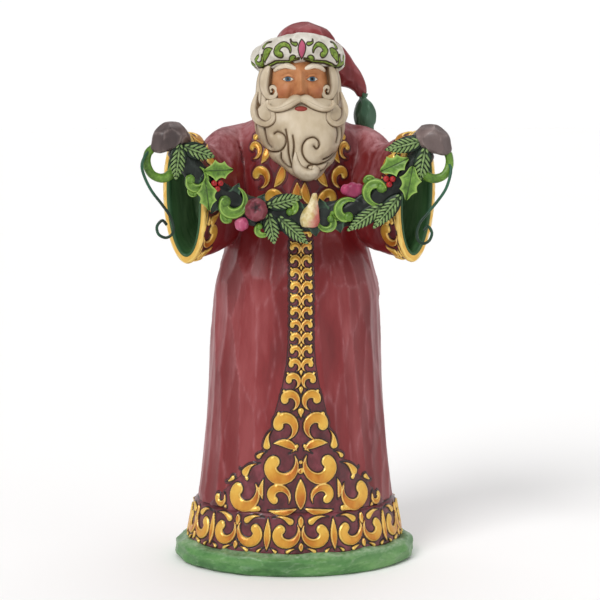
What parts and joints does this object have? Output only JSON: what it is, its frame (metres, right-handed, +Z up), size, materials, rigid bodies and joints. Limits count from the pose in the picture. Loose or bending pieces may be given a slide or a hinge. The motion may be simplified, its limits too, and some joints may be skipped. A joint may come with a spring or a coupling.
{
  "type": "santa figurine",
  "caption": "Carved-look standing Santa figurine on an oval base, holding a leafy garland across his chest with a curled wire at each end.",
  "frame": {"origin": "middle of the underside of the base", "axes": "+Z up through the hat, -Y the way the face looks, +X to the viewer's right"},
  "size_m": [0.1364, 0.1056, 0.25],
  "materials": {
    "painted_resin": "satin hand-painted cast resin, mostly deep red",
    "painted_foliage": "satin hand-painted cast resin, greens with red and pink fruit",
    "painted_wire": "satin dark green paint"
  },
  "bodies": {
    "root": {"santa_figure": "painted_resin", "garland": "painted_foliage", "tendril_left": "painted_wire", "tendril_right": "painted_wire"}
  },
  "joints": []
}
